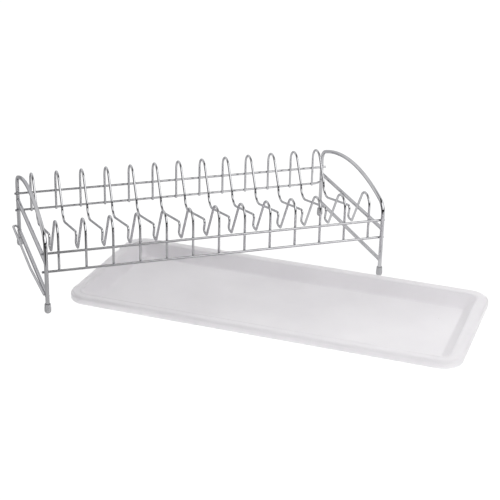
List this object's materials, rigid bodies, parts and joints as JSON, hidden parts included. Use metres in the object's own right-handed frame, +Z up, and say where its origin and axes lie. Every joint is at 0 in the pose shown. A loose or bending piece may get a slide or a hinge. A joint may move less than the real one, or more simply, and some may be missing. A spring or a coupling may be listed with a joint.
{
  "type": "dish drying rack",
  "caption": "Chromed wire dish rack with arched ends, a row of bent wires that hold plates on edge, capped feet and a loose drip tray.",
  "frame": {"origin": "on the worktop, midway between the four feet", "axes": "+X along the rack to its right-hand end, +Y to its rear, +Z up"},
  "size_m": [0.5518, 0.5244, 0.1261],
  "materials": {
    "chromed_steel": "bright chrome plate on drawn steel wire",
    "foot_cap_grey": "soft grey plastic, satin",
    "frosted_tray": "frosted translucent polypropylene"
  },
  "bodies": {
    "rack": {"left_end_frame": "chromed_steel", "right_end_frame": "chromed_steel", "left_upper_cross_rail": "chromed_steel", "left_lower_cross_rail": "chromed_steel", "right_upper_cross_rail": "chromed_steel", "right_lower_cross_rail": "chromed_steel", "left_front_foot_cap": "foot_cap_grey", "left_rear_foot_cap": "foot_cap_grey", "right_front_foot_cap": "foot_cap_grey", "right_rear_foot_cap": "foot_cap_grey", "front_upper_rail": "chromed_steel", "front_lower_rail": "chromed_steel", "rear_upper_rail": "chromed_steel", "rear_lower_rail": "chromed_steel", "plate_wire_01": "chromed_steel", "plate_wire_02": "chromed_steel", "plate_wire_03": "chromed_steel", "plate_wire_04": "chromed_steel", "plate_wire_05": "chromed_steel", "plate_wire_06": "chromed_steel", "plate_wire_07": "chromed_steel", "plate_wire_08": "chromed_steel", "plate_wire_09": "chromed_steel", "plate_wire_10": "chromed_steel", "plate_wire_11": "chromed_steel", "plate_wire_12": "chromed_steel", "plate_wire_13": "chromed_steel", "left_side_wire": "chromed_steel"},
    "tray": {"drip_tray": "frosted_tray"}
  },
  "joints": [
    {"name": "tray_slide", "type": "slide", "parent": "rack", "child": "tray", "axis": [0.7944, -0.6074, 0], "range_m": [-0.005, 0.32]}
  ]
}
